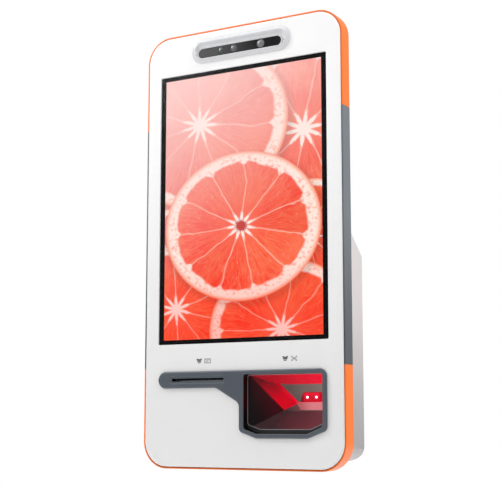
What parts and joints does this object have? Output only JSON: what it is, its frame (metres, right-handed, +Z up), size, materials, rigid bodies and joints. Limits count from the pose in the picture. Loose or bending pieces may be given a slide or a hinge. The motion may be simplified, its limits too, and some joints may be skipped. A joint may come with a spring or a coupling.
{
  "type": "self checkout kiosk",
  "caption": "Wall-mounted self checkout kiosk: hinged door with portrait touch display and camera strip, receipt printer slot and barcode scanner window.",
  "frame": {"origin": "centre of the four wall mount holes, on the rear housing's flat back face", "axes": "+Z up, +Y out of the back towards the wall, +X to the right as a customer faces the display"},
  "size_m": [0.336, 0.0976, 0.663],
  "materials": {
    "white_panel": "moulded ABS, satin",
    "orange_band": "moulded ABS, satin",
    "slate_band": "moulded ABS, satin",
    "slate_bezel": "moulded ABS, fine grain",
    "frame_steel": "zinc plated sheet",
    "screen_glass": "clear toughened glass",
    "black_border": "printed ink",
    "display": "lit panel",
    "pcb": "solder mask",
    "ring_white": "moulded ABS, satin",
    "black_window": "dark acrylic",
    "lens_black": "lens barrel",
    "scan_glass": "clear glass",
    "hood_black": "matt black",
    "engine_plastic": "matt black",
    "lamp": "lit lamp",
    "housing_grey": "powder coat, satin",
    "back_paint": "powder coat, satin",
    "brass": "turned",
    "motor_metal": "drawn can",
    "heatsink_metal": "extruded",
    "supply_metal": "pressed case",
    "cable_black": "PVC sheath",
    "black_plastic": "moulded",
    "socket_metal": "plated shell",
    "platen_rubber": "ground rubber",
    "gear_nylon": "natural nylon",
    "receipt_paper": "thermal paper",
    "core_card": "wound card",
    "lid_plastic": "moulded",
    "blade_steel": "ground",
    "button_plastic": "moulded"
  },
  "bodies": {
    "chassis": {"rear_housing": "housing_grey", "back_plate": "back_paint", "mount_plate": "frame_steel", "wall_inserts": "brass", "chassis_hinge_leaf": "frame_steel", "hinge_pins": "frame_steel", "lock_barrel": "socket_metal", "printer_frame": "frame_steel", "paper_web": "receipt_paper", "feed_motor": "motor_metal", "printer_board": "pcb", "mainboard": "pcb", "heatsink": "heatsink_metal", "power_supply": "supply_metal", "dc_lead": "cable_black", "connector_panel": "black_plastic", "power_inlet": "black_plastic", "data_sockets": "socket_metal", "speaker": "black_plastic", "housing_screws": "frame_steel"},
    "door": {"front_cover": "white_panel", "band_top": "orange_band", "band_bottom": "orange_band", "band_left": "slate_band", "band_right": "slate_band", "door_frame": "frame_steel", "touch_glass": "screen_glass", "screen_border": "black_border", "display_panel": "display", "display_board": "pcb", "camera_bezel": "ring_white", "camera_window": "black_window", "camera_board": "pcb", "colour_camera": "lens_black", "infrared_camera": "lens_black", "depth_projector": "lens_black", "slot_bezel": "slate_bezel", "scanner_glass": "scan_glass", "scanner_hood": "hood_black", "scan_engine": "engine_plastic", "scan_lamps": "lamp", "door_hinge_leaf": "frame_steel", "latch_strike": "frame_steel", "door_screws": "frame_steel"},
    "lock": {"lock_plug": "socket_metal", "lock_cam": "frame_steel"},
    "platen": {"platen_roller": "platen_rubber", "platen_shaft": "frame_steel", "platen_gear": "gear_nylon"},
    "pinion": {"motor_pinion": "brass"},
    "roll": {"paper_roll": "receipt_paper", "roll_core": "core_card"},
    "print_head": {"head_carrier": "lid_plastic", "thermal_head": "supply_metal", "head_springs": "blade_steel", "cutter_housing": "black_plastic"},
    "blade": {"cutter_blade": "blade_steel"},
    "button": {"power_button": "button_plastic"}
  },
  "joints": [
    {"name": "door_hinge", "type": "hinge", "parent": "chassis", "child": "door", "pos_m": [-0.16, -0.0635, 0], "axis": [0, 0, -1], "range_deg": [0, 100]},
    {"name": "lock_turn", "type": "hinge", "parent": "chassis", "child": "lock", "pos_m": [0.115, -0.043, -0.14], "axis": [0, 0, -1], "range_deg": [0, 90]},
    {"name": "roll_spin", "type": "hinge", "parent": "chassis", "child": "roll", "pos_m": [-0.071, -0.043, -0.1], "axis": [1, 0, 0], "continuous": true},
    {"name": "platen_spin", "type": "hinge", "parent": "chassis", "child": "platen", "pos_m": [-0.071, -0.069, -0.038], "axis": [1, 0, 0], "continuous": true},
    {"name": "pinion_spin", "type": "hinge", "parent": "chassis", "child": "pinion", "pos_m": [-0.122, -0.0588, -0.04818], "axis": [1, 0, 0], "continuous": true},
    {"name": "lid_hinge", "type": "hinge", "parent": "chassis", "child": "print_head", "pos_m": [-0.071, -0.009, -0.022], "axis": [-1, 0, 0], "range_deg": [0, 75]},
    {"name": "blade_cut", "type": "slide", "parent": "print_head", "child": "blade", "axis": [0, 0, -1], "range_m": [0, 0.0055]},
    {"name": "button_press", "type": "slide", "parent": "chassis", "child": "button", "axis": [0, 0, 1], "range_m": [0, 0.0015], "stiffness_N_per_m": 300}
  ],
  "couplings": [
    {"joint": "platen_spin", "follows": "roll_spin", "ratio": 4.9655},
    {"joint": "pinion_spin", "follows": "roll_spin", "ratio": -9.931}
  ]
}
